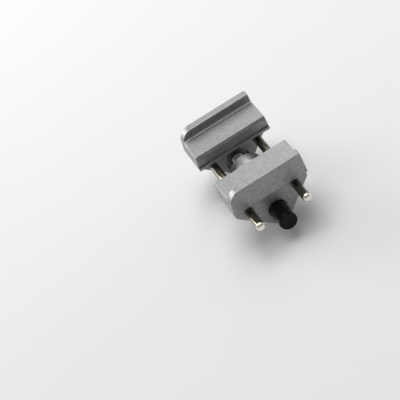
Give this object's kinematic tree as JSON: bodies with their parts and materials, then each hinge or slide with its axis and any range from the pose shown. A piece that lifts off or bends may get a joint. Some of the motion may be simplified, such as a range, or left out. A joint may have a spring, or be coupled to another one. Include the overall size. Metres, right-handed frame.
{
  "type": "honing guide",
  "caption": "Side-clamping honing guide: a screw and guide rods draw a sliding jaw towards a fixed one to grip a chisel or plane iron over a roller.",
  "frame": {"origin": "the point where the middle of the roller meets the stone, halfway between the jaws as drawn", "axes": "+X along the clamp screw from the fixed right jaw to the sliding left jaw, +Y along the blade from its edge towards its handle, +Z square to the blade seats, upwards"},
  "size_m": [0.0944, 0.0401, 0.0322],
  "materials": {
    "cast_alloy": "satin silver paint over a fine cast texture",
    "ground_steel": "browned and ground smooth, bright at the tip",
    "bronze": "sintered, satin",
    "zinc_steel": "bright zinc plate",
    "spring_steel": "dark oiled",
    "knurled_steel": "bright nickel, knurled",
    "brass": "machined",
    "black_vinyl": "glossy, soft",
    "hardened_steel": "turned and hardened"
  },
  "bodies": {
    "fixed_jaw": {"right_jaw": "cast_alloy", "front_guide_rod": "ground_steel", "rear_guide_rod": "ground_steel", "screw_bush": "bronze"},
    "clamp_screw": {"clamp_screw": "zinc_steel", "clip_washer": "zinc_steel", "screw_clip": "spring_steel", "knob_washer": "zinc_steel", "clamp_knob": "knurled_steel", "knob_pin": "spring_steel", "thread_cap": "black_vinyl"},
    "sliding_jaw": {"left_jaw": "cast_alloy", "thread_insert": "brass"},
    "roller_carriage": {"roller_sleeve": "zinc_steel", "right_side_washer": "zinc_steel", "left_side_washer": "zinc_steel", "right_sleeve_clip": "spring_steel", "left_sleeve_clip": "spring_steel"},
    "roller": {"roller": "hardened_steel", "roller_bush": "bronze"}
  },
  "joints": [
    {"name": "screw_turn", "type": "hinge", "parent": "fixed_jaw", "child": "clamp_screw", "pos_m": [0, 0, 0.01], "axis": [1, 0, 0], "range_deg": [-2527, 8251]},
    {"name": "jaw_slide", "type": "slide", "parent": "fixed_jaw", "child": "sliding_jaw", "axis": [1, 0, 0], "range_m": [-0.0229, 0.007]},
    {"name": "roller_shift", "type": "slide", "parent": "fixed_jaw", "child": "roller_carriage", "axis": [1, 0, 0], "range_m": [-0.01146, 0.00351]},
    {"name": "roller_spin", "type": "hinge", "parent": "roller_carriage", "child": "roller", "pos_m": [0, 0, 0.01], "axis": [1, 0, 0], "continuous": true}
  ],
  "couplings": [
    {"joint": "screw_turn", "follows": "jaw_slide", "rad_per_m": -6283.2},
    {"joint": "roller_shift", "follows": "jaw_slide", "ratio": 0.5}
  ]
}
